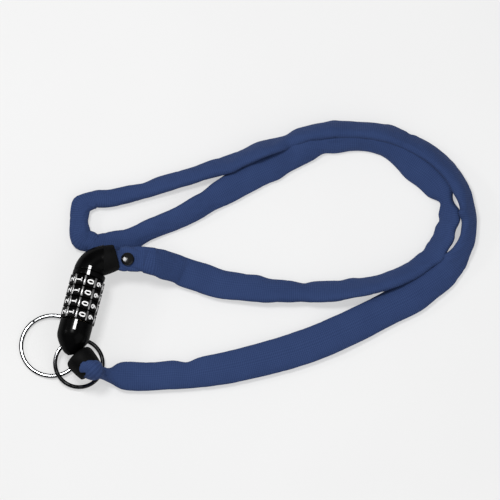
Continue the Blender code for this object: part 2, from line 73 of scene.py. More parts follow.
# Each station: x, y, z of the sleeve's middle as in part.py, how far the cloth reaches to the left
# and to the right of it as seen from above, and how far the flat band leans over towards the left
# of its way (0 lies flat, 90 stands on edge).
LAID = 4.1  # the height of the CAD tube's middle where it lies on the floor
SLEEVE = [
    (16.5, -42.9, 18.5, 8.2, 5.6, 0),
    (19.0, -44.2, 17.6, 7.8, 4.6, 0),
    (22.8, -42.8, 12.6, 6.9, 2.8, 0),
    (28.6, -40.7, 7.0, 6.1, 4.6, 0),
    (36.8, -38.0, 4.7, 9.4, 8.8, 0),
    (58.0, -32.0, LAID, 8.8, 9.4, 0),
    (100.0, -15.0, LAID, 9.6, 11.1, 0),
    (154.0, 17.0, LAID, 10.8, 11.4, 0),
    (210.0, 67.0, LAID, 9.6, 9.0, 14),
    (222.0, 90.0, LAID, 4.8, 6.7, 44),
    (223.0, 112.0, LAID, 4.7, 4.4, 60),
    (213.0, 132.0, LAID, 7.0, 4.4, 54),
    (195.0, 146.0, LAID, 7.4, 5.0, 50),
    (170.0, 153.0, LAID, 7.0, 5.5, 50),
    (142.0, 152.0, LAID, 6.4, 5.9, 50),
    (109.0, 141.0, LAID, 6.2, 5.3, 52),
    (75.0, 116.0, LAID, 6.0, 5.8, 52),
    (9.0, 75.0, LAID, 4.9, 6.5, 8),
    (-10.5, 68.8, LAID, 6.9, 4.9, 6),
    (-17.2, 60.0, LAID, 6.8, 4.9, 8),
    (-13.0, 43.5, LAID, 7.4, 6.0, 0),
    (-5.5, 40.2, LAID, 7.6, 6.0, 0),
    (4.0, 42.0, LAID, 7.0, 5.8, 4),
    (43.0, 68.0, LAID, 6.3, 6.3, 30),
    (71.0, 95.0, LAID, 8.6, 8.2, 16),
    (103.0, 125.0, LAID, 6.6, 8.6, 26),
    (131.0, 140.0, LAID, 6.6, 4.9, 44),
    (159.0, 144.0, LAID, 7.0, 4.1, 46),
    (195.0, 131.5, LAID, 9.0, 9.6, 12),
    (208.0, 112.0, LAID, 8.8, 4.9, 34),
    (208.5, 94.0, LAID, 7.4, 6.5, 32),
    (197.0, 74.0, LAID, 7.0, 5.8, 42),
    (176.0, 57.0, LAID, 6.2, 6.6, 48),
    (147.0, 46.0, LAID, 7.9, 7.0, 34),
    (110.0, 37.0, LAID, 8.4, 8.4, 20),
    (64.0, 35.5, 4.7, 9.2, 9.8, 4),
    (52.0, 35.9, 8.2, 8.7, 10.0, 2),
    (43.0, 34.9, 14.5, 9.0, 10.4, 0),
    (36.8, 33.5, 18.5, 7.2, 10.4, 0),
    (32.8, 33.5, 18.5, 7.0, 10.0, 0),
]
# Tucks and folds in the cloth's edges: station, side (1 left, -1 right), how deep (a negative one
# stands out), over what length.
TUCKS = [
    (5.45, 1, 2.2, 12),
    (7.75, -1, -1.6, 24),
    (8.45, -1, 0.9, 10),
    (8.6, 1, -1.8, 14),
    (10.14, 1, -1.8, 6),
    (12.9, -1, 0.9, 4),
    (14.5, -1, -1.1, 10),
    (13.35, -1, -1.1, 12),
    (15.3, -1, 1.8, 12),
    (15.78, -1, -1.7, 14),
    (16.15, 1, -1.6, 14),
    (16.45, -1, 0.6, 14),
    (16.8, -1, 1.4, 14),
    (18.7, -1, -1.8, 8),
    (19.5, 1, 0.8, 6),
    (20.4, -1, -0.9, 7),
    (22.4, -1, -3.2, 15),
    (22.4, 1, 1.7, 16),
    (23.62, -1, 0.8, 14),
    (23.62, 1, 0.9, 14),
    (24.2, 1, -1.2, 12),
    (24.7, -1, -1.2, 12),
    (25.65, -1, 1.9, 12),
    (27.55, -1, -1.9, 16),
    (28.55, 1, 3.2, 9),
    (28.6, -1, 3.8, 10),
    (28.75, 1, 1.3, 7),
    (29.15, -1, 0.4, 4),
    (29.5, -1, -1.3, 9),
    (29.5, 1, 1.7, 7),
    (30.5, -1, 1.0, 6),
    (30.4, 1, -1.8, 9),
    (32.5, -1, -1.2, 10),
    (33.4, -1, 1.2, 10),
    (33.45, 1, 1.6, 14),
    (34.15, -1, -1.0, 10),
    (33.78, 1, 1.2, 14),
    (34.6, 1, -1.9, 26),
    (34.6, -1, 1.1, 16),
]
SPLIT_STATION = 33  # the cloth after this station is made as a stretch of its own, attached to no body
RIVET_STATION = 39  # the cloth creases where the rivet pinches it
SLEEVE_STEP = 1.6
SLEEVE_THICKNESS = 7.4
FLOOR_ROOM = 0.5  # the cloth is raised by this, so that its creases stay above the floor
CLOTH_GIRTH = 42.0  # round the band, for the weave
LINK_PITCH = 17.5  # the chain's links show through the cloth as soft lumps

# ---------------------------------------------------------------- sizes shared with part.py

DIALS = 4
PITCH = 7.2
DIGITS = 10
ZERO_AT = 13.0
LOWER_BACK = AXIS + Vector((6.1, -35.3, 0))
LOWER_TOWARDS = Vector((0.807, -0.590, 0)).normalized()
UPPER_BACK = AXIS + Vector((2.7, 26.1, 0))
UPPER_TOWARDS = Vector((0.875, 0.485, 0)).normalized()
ELBOW_PLANE = AXIS + Vector((6.65, 28.2, 0))
ELBOW_NORMAL = Vector((0.970, 0.244, 0)).normalized()
STRIP_FROM = UPPER_BACK + UPPER_TOWARDS * 7.6
STRIP_TOWARDS = Vector((0.986, 0.165, 0)).normalized()
RIVET_AT = 12.1
EYE = Vector((5.3, -22.0, 0))
# Each split ring: its radius, the height of its wire at the eye, where its middle lies from above, how
# its plane slopes along x and y, and how many degrees round from the eye its wire starts.
RINGS = {
    "big_ring": (19.4, 3.51, (-12.6, -29.5), (0.056, 0.024), 250),
    "small_ring": (15.0, 6.05, (7.0, -37.0), (-0.11, 0.09), 140),
}


def world(point):
    """A point of part.py's barrel frame, in millimetres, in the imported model's frame."""
    return (Vector(point) + SHIFT) * MM


def dial_centre(i):
    """Where dial i stands along the barrel. Dial 1 is next to the plug."""
    return ((DIALS + 1) / 2 - i) * PITCH


# ---------------------------------------------------------------- node helpers


class Nodes:
    """A material's node tree, with short calls for the nodes used below."""

    def __init__(self, name):
        self.material = bpy.data.materials.new(name)
        self.material.use_nodes = True
        self.tree = self.material.node_tree
        self.shader = self.tree.nodes["Principled BSDF"]

    def add(self, kind, **inputs):
        node = self.tree.nodes.new(kind)
        for name, value in inputs.items():
            self.feed(node, name.replace("_", " "), value)
        return node

    def feed(self, node, name, value):
        if isinstance(value, bpy.types.NodeSocket):
            self.tree.links.new(value, node.inputs[name])
        else:
            node.inputs[name].default_value = value

    def set(self, **inputs):
        for name, value in inputs.items():
            self.feed(self.shader, name.replace("_", " "), value)

    def place(self, scale=(1, 1, 1), uv=False):
        """Where the surface point is, in metres times scale, or in the mesh's own lengths."""
        source = self.add("ShaderNodeTexCoord").outputs["UV" if uv else "Object"]
        mapping = self.add("ShaderNodeMapping", Vector=source, Scale=scale)
        return mapping.outputs["Vector"]

    def noise(self, vector, scale, detail=3.0, roughness=0.5):
        made = self.add("ShaderNodeTexNoise", Vector=vector, Scale=scale, Detail=detail)
        made.inputs["Roughness"].default_value = roughness
        return made.outputs["Fac"]

    def ramp(self, value, stops):
        """Values or colours along a 0 to 1 input."""
        made = self.add("ShaderNodeValToRGB", Fac=value)
        elements = made.color_ramp.elements
        while len(elements) < len(stops):
            elements.new(0.5)
        for element, (at, colour) in zip(elements, stops):
            element.position = at
            grey = (colour, colour, colour) if isinstance(colour, float) else colour
            element.color = (*grey, 1)
        return made.outputs["Color"]

    def math(self, operation, a, b=0.0):
        made = self.tree.nodes.new("ShaderNodeMath")
        made.operation = operation
        self.feed(made, 0, a)
        self.feed(made, 1, b)
        return made.outputs["Value"]

    def toned_gloss(self, level):
        """A specular level that fades towards grazing views, so that black edges stay black."""
        weight = self.add("ShaderNodeLayerWeight", Blend=0.5).outputs["Facing"]
        return self.ramp(weight, [(0.35, level), (0.85, 0.12 * level)])

    def bump(self, *layers):
        """Stacks height maps: each is a height socket and how far it stands out, in metres."""
        normal = None
        for height, distance in layers:
            node = self.add("ShaderNodeBump", Height=height, Distance=distance, Strength=1.0)
            if normal is not None:
                self.feed(node, "Normal", normal)
            normal = node.outputs["Normal"]
        self.feed(self.shader, "Normal", normal)


# ---------------------------------------------------------------- materials


def gloss_black(name="gloss_black_lacquer", roughness=0.22, shine=0.038):
    """Thick glossy lacquer over a die casting: faint orange peel, and fine rubbed scratches."""
    m = Nodes(name)
    peel = m.noise(m.place(), 380, 2)
    scratches = m.noise(m.place((1, 0.06, 1)), 2600, 4, 0.7)
    smudge = m.noise(m.place(), 120, 4, 0.6)
    m.set(
        Base_Color=m.ramp(smudge, [(0.3, (0.0008, 0.0008, 0.0009)), (0.75, (0.0022, 0.0022, 0.0024))]),
        Roughness=m.ramp(smudge, [(0.35, roughness), (0.7, roughness + 0.10)]),
        Specular_IOR_Level=m.toned_gloss(shine),
    )
    m.bump((peel, 0.00004), (scratches, 0.000006))
    return m.material


def matte_black():
    """Moulded black plastic with a fine spark-eroded grain, paler where it is rubbed."""
    m = Nodes("matte_black_plastic")
    grain = m.noise(m.place(), 3200, 3, 0.6)
    cloud = m.noise(m.place(), 160, 4, 0.6)
    m.set(
        Base_Color=m.ramp(cloud, [(0.3, (0.0022, 0.0022, 0.0023)), (0.8, (0.0050, 0.0050, 0.0052))]),
        Roughness=m.ramp(cloud, [(0.3, 0.50), (0.8, 0.66)]),
        Specular_IOR_Level=m.toned_gloss(0.05),
    )
    m.bump((grain, 0.00003))
    return m.material


def chrome():
    """Bright chrome plate on drawn wire. Its colour is painted by which way the wire faces: bright on its
    crown and its sides, and a painted dark reflection on the shoulders between them, for what a dark room
    would show there."""
    m = Nodes("chrome_plate")
    dull = m.noise(m.place(), 240, 4, 0.6)
    hairline = m.noise(m.place((1, 1, 0.1)), 3000, 4, 0.75)
    facing = m.add("ShaderNodeTexCoord").outputs["Normal"]
    upright = m.add("ShaderNodeSeparateXYZ", Vector=facing).outputs["Z"]
    level = m.math("MULTIPLY", m.math("ABSOLUTE", upright), 0.97)
    # painted reflection: how upright the wire's surface faces, with a little random tone, sets where the
    # painted dark band falls
    wear_and_painted_reflection = m.math("ADD", level, m.math("MULTIPLY", dull, 0.03))
    bright = (0.44, 0.45, 0.46)
    dark = (0.011, 0.011, 0.012)
    shoulder = (0.020, 0.020, 0.022)
    # painted reflection: a dark band painted on the wire's shoulders, between the bright crown and sides
    tone = m.ramp(wear_and_painted_reflection, [(0.50, bright), (0.62, dark), (0.955, dark), (0.973, shoulder), (0.988, bright)])
    m.set(
        Base_Color=tone,
        Metallic=1.0,
        Roughness=m.ramp(dull, [(0.35, 0.10), (0.75, 0.20)]),
    )
    m.bump((hairline, 0.000004))
    return m.material


def bare_metal(name, low, high, grain_scale, roughness=(0.24, 0.42)):
    """Turned or pressed metal: a directional grain over a slightly blotchy tone."""
    m = Nodes(name)
    blotch = m.noise(m.place(), 200, 4, 0.6)
    grain = m.noise(m.place((1, 12, 1)), grain_scale, 4, 0.7)
    m.set(
        Base_Color=m.ramp(blotch, [(0.3, low), (0.75, high)]),
        Metallic=1.0,
        Roughness=m.ramp(grain, [(0.3, roughness[0]), (0.75, roughness[1])]),
    )
    m.bump((grain, 0.000003))
    return m.material


def white_paint():
    """Stamped white paint, a little uneven and with dust in its pores."""
    m = Nodes("white_paint")
    dust = m.noise(m.place(), 900, 5, 0.65)
    m.set(
        Base_Color=m.ramp(dust, [(0.25, (0.74, 0.74, 0.73)), (0.45, (0.93, 0.93, 0.93))]),
        Roughness=m.ramp(dust, [(0.3, 0.5), (0.7, 0.36)]),
    )
    m.bump((dust, 0.00002))
    return m.material


def woven_blue():
    """Navy nylon webbing woven as a flat tube: cross ribs, warp ends between them, a soft sheen."""
    m = Nodes("woven_blue_nylon")
    along = m.place(uv=True)
    split = m.add("ShaderNodeSeparateXYZ", Vector=along)
    drift = m.math("MULTIPLY", m.noise(m.place(), 260, 2), 0.0006)
    rib_at = m.math("ADD", split.outputs["X"], drift)
    rib_pitch = 0.00120
    end_pitch = 0.00080
    rib = m.math("SINE", m.math("MULTIPLY", rib_at, math.tau / rib_pitch))
    end = m.math("SINE", m.math("MULTIPLY", split.outputs["Y"], math.tau / end_pitch))
    weave = m.math("ADD", m.math("MULTIPLY", rib, 0.30), m.math("MULTIPLY", end, 0.20))
    weave = m.math("ADD", weave, 0.5)
    fibre = m.noise(m.place(), 5200, 3, 0.7)
    fade = m.noise(m.place(), 38, 4, 0.6)
    height = m.math("ADD", weave, m.math("MULTIPLY", fibre, 0.35))
    tone = m.math("ADD", m.math("MULTIPLY", weave, 0.60), m.math("MULTIPLY", fade, 0.40))
    m.set(
        Base_Color=m.ramp(tone, [(0.25, (0.020, 0.038, 0.110)), (0.75, (0.032, 0.058, 0.154))]),
        Roughness=m.ramp(fibre, [(0.2, 0.78), (0.8, 0.95)]),
        Specular_IOR_Level=0.12,
        Sheen_Weight=0.06,
        Sheen_Roughness=0.5,
        Sheen_Tint=(0.45, 0.52, 0.85, 1),
    )
    m.bump((height, 0.00009))
    return m.material


def pale_floor():
    """A plain pale floor that also glows, so that it stays even and nearly white."""
    m = Nodes("pale_floor")
    cloud = m.noise(m.place(), 9, 2)
    m.set(
        Base_Color=m.ramp(cloud, [(0.3, (0.345, 0.345, 0.345)), (0.7, (0.355, 0.355, 0.355))]),
        Roughness=0.9,
        Specular_IOR_Level=0.1,
        Emission_Color=(1, 1, 1, 1),
        Emission_Strength=0.50,
    )
    return m.material


# ---------------------------------------------------------------- mesh helpers


def add_piece(name, mesh, material, body, replaced=()):
    obj = bpy.data.objects.new(name, mesh)
    bpy.context.scene.collection.objects.link(obj)
    mesh.materials.clear()
    mesh.materials.append(material)
    if body:
        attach(obj, body)
    if replaced:
        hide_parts(*replaced)
    return obj


def finish_mesh(bm, name, sharp_degrees=40):
    bmesh.ops.recalc_face_normals(bm, faces=bm.faces)
    mesh = bpy.data.meshes.new(name)
    bm.to_mesh(mesh)
    bm.free()
    mesh.shade_smooth()
    mesh.set_sharp_from_angle(angle=math.radians(sharp_degrees))
    return mesh


def join_rings(bm, rings, cyclic=False):
    """Faces between neighbouring rings of vertices, each ring closed on itself."""
    pairs = list(zip(rings, rings[1:]))
    if cyclic:
        pairs.append((rings[-1], rings[0]))
    for a, b in pairs:
        for k in range(len(a)):
            n = (k + 1) % len(a)
            bm.faces.new((a[k], a[n], b[n], b[k]))


def rounded(points, radius, steps=4):
    """A polyline of (radius, height) with each inner corner rounded off."""
    made = [Vector(points[0])]
    for a, b, c in zip(points, points[1:], points[2:]):
        a, b, c = Vector(a), Vector(b), Vector(c)
        cut = min(radius, (a - b).length * 0.45, (c - b).length * 0.45)
        start = b + (a - b).normalized() * cut
        end = b + (c - b).normalized() * cut
        for k in range(steps + 1):
            t = k / steps
            made.append(start * (1 - t) ** 2 + b * 2 * t * (1 - t) + end * t**2)
    made.append(Vector(points[-1]))
    return made


def lathe(profile, at, towards, segments=112):
    """A bmesh turned about an axis. The profile is in millimetres: radius, distance along it."""
    z = Vector(towards).normalized()
    x = Vector((0, 0, 1)).cross(z).normalized()
    y = z.cross(x)
    bm = bmesh.new()
    rings = []
    for radius, along in profile:
        ring = []
        for k in range(segments):
            turn = math.tau * k / segments
            out = x * math.cos(turn) + y * math.sin(turn)
            ring.append(bm.verts.new(world(at + z * along + out * max(radius, 0.01))))
        rings.append(ring)
    join_rings(bm, rings)
    return bm


def cut_away(bm, point, normal, fill=True):
    """Removes what lies on the normal's side of a plane, and closes the cut."""
    geometry = bm.verts[:] + bm.edges[:] + bm.faces[:]
    cut = bmesh.ops.bisect_plane(
        bm,
        geom=geometry,
        dist=1e-7,
        plane_co=world(point),
        plane_no=normal,
        clear_outer=True,
    )
    if fill:
        edges = [e for e in cut["geom_cut"] if isinstance(e, bmesh.types.BMEdge)]
        bmesh.ops.holes_fill(bm, edges=edges, sides=0)


def smooth_track(stations, step):
    """Points about a step apart on the Catmull-Rom curve through the stations, which may carry
    further values after x, y and z. Returns the values and how far along the stations each is."""
    stations = [tuple(map(float, s)) for s in stations]
    first = tuple(2 * a - b for a, b in zip(stations[0], stations[1]))
    last = tuple(2 * a - b for a, b in zip(stations[-1], stations[-2]))
    stops = [first, *stations, last]
    made = []
    for i in range(len(stations) - 1):
        a, b, c, d = stops[i : i + 4]
        pieces = max(1, round((Vector(c[:3]) - Vector(b[:3])).length / step))
        for k in range(pieces):
            t = k / pieces
            point = [catmull(t, *four) for four in zip(a, b, c, d)]
            made.append((point, i + t))
    made.append((list(stations[-1]), len(stations) - 1.0))
    return made


def catmull(t, a, b, c, d):
    linear = (c - a) * t
    square = (2 * a - 5 * b + 4 * c - d) * t**2
    cube = (3 * b - a - 3 * c + d) * t**3
    return (2 * b + linear + square + cube) / 2


# ---------------------------------------------------------------- barrel


def barrel_lathe(profile):
    return lathe(profile, AXIS, (0, 1, 0), 144)


def housing_skin(material):
    profile = rounded(
        [
            (5.0, -14.75),
            (9.9, -14.75),
            (10.4, -15.2),
            (10.4, -23.6),
            (9.8, -26.2),
            (8.2, -29.2),
            (5.8, -32.4),
            (3.0, -35.2),
            (0, -36.4),
        ],
        1.6,
        6,
    )
    bm = barrel_lathe(profile)
    cut_away(bm, LOWER_BACK - LOWER_TOWARDS * 2.0, LOWER_TOWARDS)
    mesh = finish_mesh(bm, "housing_skin")
    add_piece("housing_skin", mesh, material, "barrel", ["lower_housing"])


def collar_skin(material):
    profile = rounded(
        [(5.0, 18.0), (9.95, 18.0), (10.4, 17.6), (10.4, 15.1), (9.95, 14.72), (5.0, 14.72)], 0.3
    )
    mesh = finish_mesh(barrel_lathe(profile), "collar_skin")
    add_piece("collar_skin", mesh, material, "barrel", ["upper_collar"])


DIAL_FLAT = 10.38  # from the axis to the middle of a flat
DIAL_BORE = 7.8
DIAL_HALF = 3.35  # half a dial's length
# A dial's edge, from the bore out: how far in from its end face, and how far its outline is drawn in
# there (None is the bore).
DIAL_EDGE = [(0.0, None), (0.0, -0.5), (0.14, -0.16), (0.42, 0.0)]
RIB_REACH = 4.2  # degrees from a rib's middle to its foot
RIB_BASE = 10.84
RIB_ROUND = 0.30  # how far its crown stands above its base
RIB_FLANK = 0.36
RIB_CREST = 11.02  # beyond this radius a rib is made bare metal


def dial_radius(turn):
    """The dial's outline: a flat under each digit, and a rounded rib halfway between two."""
    step = 360 / DIGITS
    off = abs((turn - ZERO_AT + step / 2) % step - step / 2)
    flat = DIAL_FLAT / math.cos(math.radians(off))
    rise = max(0.0, 1 - ((step / 2 - off) / RIB_REACH) ** 4)
    return min(flat + RIB_FLANK * rise**0.7, RIB_BASE + RIB_ROUND * rise)


def dial_skin(i, material, wear_and_painted_reflection):
    """One dial: ten flats with a rib between each two, lacquered, with the ribs' crests bare."""
    bm = bmesh.new()
    levels = [(-DIAL_HALF + back, inset) for back, inset in DIAL_EDGE]
    levels += [(DIAL_HALF - back, inset) for back, inset in reversed(DIAL_EDGE)]
    count = DIGITS * 24
    rings = []
    for along, inset in levels:
        ring = []
        for k in range(count):
            turn = 360 * k / count
            radius = DIAL_BORE if inset is None else dial_radius(turn) + inset
            out = Vector((math.sin(math.radians(turn)), 0, math.cos(math.radians(turn))))
            at = Vector((0, dial_centre(i) + along, 0))
            ring.append(bm.verts.new(world(AXIS + out * radius + at)))
        rings.append(ring)
    join_rings(bm, rings)
    mesh = finish_mesh(bm, f"dial_skin_{i}", 60)
    add_piece(f"dial_skin_{i}", mesh, material, f"dial_{i}", [f"dial_{i}"])
    mesh.materials.append(wear_and_painted_reflection)
    axis = world(AXIS)
    for face in mesh.polygons:
        off = face.center - axis
        if math.hypot(off.x, off.z) > RIB_CREST * MM:
            face.material_index = 1


FIGURE_SIZE = 6.2
FIGURE_BODY = 0.10  # half its thickness
FIGURE_WEIGHT = 0.11  # how far its strokes are fattened
FIGURE_RADIUS = 10.42  # from the barrel's axis to the middle of its thickness
# How far round each figure is printed from the middle of its flat, in degrees.
PRINTED_OFF = {1: -4.5, 2: -2.0}
PRINTED_OFF_OTHERS = 3.0


def glyph(character):
    """One printed digit as a flat mesh with a little body, centred, in millimetres."""
    curve = bpy.data.curves.new(f"glyph_{character}", "FONT")
    curve.body = character
    curve.align_x = "CENTER"
    curve.align_y = "CENTER"
    curve.size = FIGURE_SIZE
    curve.extrude = FIGURE_BODY
    curve.offset = FIGURE_WEIGHT
    holder = bpy.data.objects.new(f"glyph_{character}", curve)
    bpy.context.scene.collection.objects.link(holder)
    bpy.context.view_layer.update()
    evaluated = holder.evaluated_get(bpy.context.evaluated_depsgraph_get())
    mesh = bpy.data.meshes.new_from_object(evaluated)
    bpy.data.objects.remove(holder)
    xs = [v.co.x for v in mesh.vertices]
    ys = [v.co.y for v in mesh.vertices]
    middle = Vector(((min(xs) + max(xs)) / 2, (min(ys) + max(ys)) / 2, 0))
    mesh.transform(Matrix.Translation(-middle))
    if character == "1":
        add_foot(mesh, min(ys) - middle.y)
    return mesh


def add_foot(mesh, bottom):
    """The short bar under the figure 1."""
    bm = bmesh.new()
    bm.from_mesh(mesh)
    length, height, thickness = 2.3, 0.60, 0.20
    middle = Matrix.Translation((0.2, bottom + height / 2, 0))
    size = Matrix.Diagonal((length, height, thickness, 1))
    bmesh.ops.create_cube(bm, size=1, matrix=middle @ size)
    bm.to_mesh(mesh)
    bm.free()


def digit_rings(material):
    """Ten digits round each dial. They stand along the dial's edge, with their tops towards -X."""
    glyphs = [glyph(str(k)) for k in range(DIGITS)]
    for i in range(1, DIALS + 1):
        bm = bmesh.new()
        for k, mesh in enumerate(glyphs):
            off = PRINTED_OFF.get(k, PRINTED_OFF_OTHERS)
            turn = math.radians(ZERO_AT + off - k * 360 / DIGITS)
            out = Vector((math.sin(turn), 0, math.cos(turn)))
            up = Vector((-math.cos(turn), 0, math.sin(turn)))
            axes = Matrix((Vector((0, 1, 0)), up, out)).transposed().to_4x4()
            at = world(AXIS + out * FIGURE_RADIUS + Vector((0, dial_centre(i), 0)))
            copy = mesh.copy()
            copy.transform(Matrix.Translation(at) @ axes @ Matrix.Scale(MM, 4))
            bm.from_mesh(copy)
            bpy.data.meshes.remove(copy)
        mesh = finish_mesh(bm, f"digits_{i}", 30)
        add_piece(f"digits_{i}", mesh, material, f"dial_{i}")


# ---------------------------------------------------------------- sockets and plug


SOCKET_PROFILE = [
    (0, 3.0),
    (6.15, 3.0),
    (6.35, 13.0),
    (7.6, 13.0),
    (8.15, 12.5),
    (8.8, 9.0),
    (9.3, 4.2),
    (9.35, 1.6),
    (8.4, -0.6),
    (5.4, -1.7),
    (0, -1.7),
]


def lower_socket_skin(material):
    bm = lathe(rounded(SOCKET_PROFILE, 0.9), LOWER_BACK, LOWER_TOWARDS)
    mesh = finish_mesh(bm, "lower_socket_skin", 50)
    add_piece("lower_socket_skin", mesh, material, "barrel", ["lower_socket"])


def upper_socket_skin(material):
    bm = lathe(rounded(SOCKET_PROFILE, 0.9), UPPER_BACK, UPPER_TOWARDS)
    cut_away(bm, ELBOW_PLANE, -ELBOW_NORMAL, fill=False)
    mesh = finish_mesh(bm, "upper_socket_skin", 50)
    add_piece("upper_socket_skin", mesh, material, "plug", ["upper_socket"])


def elbow_skin(material):
    """The plug's head: a round bar that bends from the barrel's axis into the socket's."""
    start = 18.3  # where the head begins on the barrel's axis
    bend = 24.6  # where that axis and the socket's cross
    turn = math.acos(UPPER_TOWARDS.y)
    radius = (bend - start) / math.tan(turn / 2)
    centre = AXIS + Vector((radius, start, 0))
    bm = bmesh.new()
    rings = []
    steps = 30
    neck = 9.5
    levels = [(0.0, 9.75), (0.0, 9.95), (0.01, 10.15)]
    levels += [(k / steps, 10.2 - 0.7 * (k / steps) ** 1.5) for k in range(1, steps + 1)]
    for share, wide in levels:
        angle = turn * share
        middle = centre + Vector((-math.cos(angle), math.sin(angle), 0)) * radius
        side = Vector((-math.cos(angle), math.sin(angle), 0))
        rings.append(circle(bm, middle, side, wide, 112))
    for beyond in (1.5, 4.0):
        middle = AXIS + Vector((0, bend, 0)) + UPPER_TOWARDS * (bend - start + beyond)
        side = Vector((-UPPER_TOWARDS.y, UPPER_TOWARDS.x, 0))
        rings.append(circle(bm, middle, side, neck, 112))
    join_rings(bm, rings)
    bm.faces.new(rings[0])
    cut_away(bm, ELBOW_PLANE + ELBOW_NORMAL * 0.05, ELBOW_NORMAL)
    mesh = finish_mesh(bm, "elbow_skin")
    add_piece("elbow_skin", mesh, material, "plug", ["plug_elbow"])


def circle(bm, middle, side, radius, segments):
    """A ring of vertices in the upright plane through a level direction."""
    up = Vector((0, 0, 1))
    ring = []
    for k in range(segments):
        turn = math.tau * k / segments
        out = side * math.cos(turn) + up * math.sin(turn)
        ring.append(bm.verts.new(world(middle + out * radius)))
    return ring


def rivet_skin(material):
    """A snap rivet: a domed head with a rolled rim, above and below the sleeve."""
    face = 3.75
    dome = [(4.1, 0.0), (4.2, 0.9), (4.0, 1.7), (3.5, 2.2), (3.0, 2.35), (2.0, 2.49), (1.0, 2.57), (0, 2.6)]
    at = STRIP_FROM + STRIP_TOWARDS * RIVET_AT
    top = [(radius, face + height) for radius, height in dome]
    bottom = [(radius, -face - height) for radius, height in reversed(dome)]
    middle = [(4.1, -face), (1.7, -face + 0.2), (1.7, face - 0.2)]
    profile = rounded([*bottom, *middle, *top], 0.35, 3)
    bm = bmesh.new()
    rings = [level_ring(bm, at, radius, height) for radius, height in profile]
    join_rings(bm, rings)
    mesh = finish_mesh(bm, "rivet_skin", 50)
    add_piece("rivet_skin", mesh, material, "plug", ["sleeve_rivet"])


def level_ring(bm, at, radius, height):
    """A level ring of vertices above or below a point."""
    segments = 64
    ring = []
    for k in range(segments):
        turn = math.tau * k / segments
        out = Vector((math.cos(turn), math.sin(turn), 0))
        ring.append(bm.verts.new(world(at + out * max(radius, 0.01) + Vector((0, 0, height)))))
    return ring


# ---------------------------------------------------------------- rings


COIL_WIDE = 1.28  # half the width and, below, half the thickness of a key ring's flat wire
COIL_THICK = 0.54
COIL_SHARE = 0.992  # how much of its two full turns the wire runs
COIL_STEPS = 440
CROSSING_FROM = 0.44  # the wire climbs from its lower turn to its upper one over this share of its way
CROSSING_OVER = 0.12


def split_ring(name, radius, height, centre, slope, open_at, material):
    """A key ring: two turns of rounded flat wire pressed together, with both ends showing."""
    up = Vector((-slope[0], -slope[1], 1)).normalized()
    inward = Vector((*centre, 0)) - EYE
    inward = (inward - up * inward.dot(up)).normalized()
    across = up.cross(inward)
    middle = EYE + Vector((0, 0, height)) + inward * radius
    bm = bmesh.new()
    around = 20
    rings = []
    for k in range(COIL_STEPS + 1):
        share = k / COIL_STEPS
        turn = math.radians(open_at) + share * 2 * math.tau * COIL_SHARE
        out = -inward * math.cos(turn) + across * math.sin(turn)
        cross_over = min(1.0, max(0.0, (share - CROSSING_FROM) / CROSSING_OVER))
        lift = COIL_THICK * (2 * cross_over * cross_over * (3 - 2 * cross_over) - 1)
        end = min(share, 1 - share) * COIL_STEPS
        plump = 1 - 0.55 * max(0.0, 1 - end / 3) ** 2
        ring = []
        for j in range(around):
            a = math.tau * j / around
            wide = COIL_WIDE * math.cos(a) * plump
            tall = COIL_THICK * math.sin(a) * plump
            ring.append(bm.verts.new(world(middle + out * (radius + wide) + up * (lift + tall))))
        rings.append(ring)
    join_rings(bm, rings)
    bm.faces.new(rings[0])
    bm.faces.new(rings[-1])
    mesh = finish_mesh(bm, f"{name}_coil", 60)
    add_piece(f"{name}_coil", mesh, material, name, [name])


# ---------------------------------------------------------------- sleeve


def band_sections():
    """The sleeve's sections from the lower socket to the plug: middle, width way, thickness way,
    half width, half thickness, distance along, and how far along the stations."""
    track = smooth_track(SLEEVE, SLEEVE_STEP)
    sections = []
    length = 0.0
    for n, (values, station) in enumerate(track):
        x, y, z, left, right, lean = values
        before = Vector(track[max(0, n - 1)][0][:3])
        after = Vector(track[min(len(track) - 1, n + 1)][0][:3])
        if n:
            length += (Vector((x, y, z)) - before).length
        way = (after - before).normalized()
        side = Vector((-way.y, way.x, 0)).normalized()
        up = way.cross(side)
        left -= tucked(station, 1)
        right -= tucked(station, -1)
        turn = math.radians(lean)
        flat = side * math.cos(turn) + up * math.sin(turn)
        thick = way.cross(flat)
        seen = (left + right) / 2
        half_thick = SLEEVE_THICKNESS / 2 * (1 + 0.08 * ripple(length, 19, 7.5))
        half_width = math.sqrt(max(4.0, seen**2 - (half_thick * thick.xy.length) ** 2)) / math.cos(turn)
        half_thick += mouth_bulge(length)
        tall = math.hypot(half_width * flat.z, half_thick * thick.z)
        lifted = min(1.0, max(0.0, (z - LAID) / 6))
        middle = Vector((x, y, z + (tall + FLOOR_ROOM - LAID) * (1 - lifted)))
        middle += side * (left - right) / 2
        sections.append((middle, flat, thick, half_width, half_thick, length, station))
    return sections


def mouth_bulge(length):
    """The cloth is bunched round the chain's first links, where it fills the lower socket."""
    return 5.6 * max(0.0, 1 - length / 8) ** 1.3


def ripple(length, period, seed):
    """A slow wave without a fixed beat, between about -1 and 1."""
    return 2 * noise.noise(Vector((length / period, seed, 0.37)))


def tucked(station, side):
    """How far one edge of the cloth is drawn in at a station, in millimetres."""
    depth = 0.0
    for at, tuck_side, deep, reach in TUCKS:
        span = (Vector(SLEEVE[int(at) + 1][:3]) - Vector(SLEEVE[int(at)][:3])).length
        off = (station - at) * span / reach
        if tuck_side == side:
            depth += deep * math.exp(-4 * off * off)
    return depth


def wrinkle(length, across, around, twist):
    """How far the cloth stands in or out, in millimetres: soft lumps over the chain's links, and
    slanting creases where the band twists."""
    lump = 0.22 * math.sin(math.tau * length / LINK_PITCH) * (1 - across * across)
    soft = 0.55 * noise.noise(Vector((length / 11, around * 1.2, 3.1)))
    crease = noise.noise(Vector((length / 9 + across * 1.8, across * 0.7, 9.2)))
    sharp = -max(0.0, 0.16 - abs(crease)) * (1.6 + 5.0 * twist)
    return lump + soft + sharp


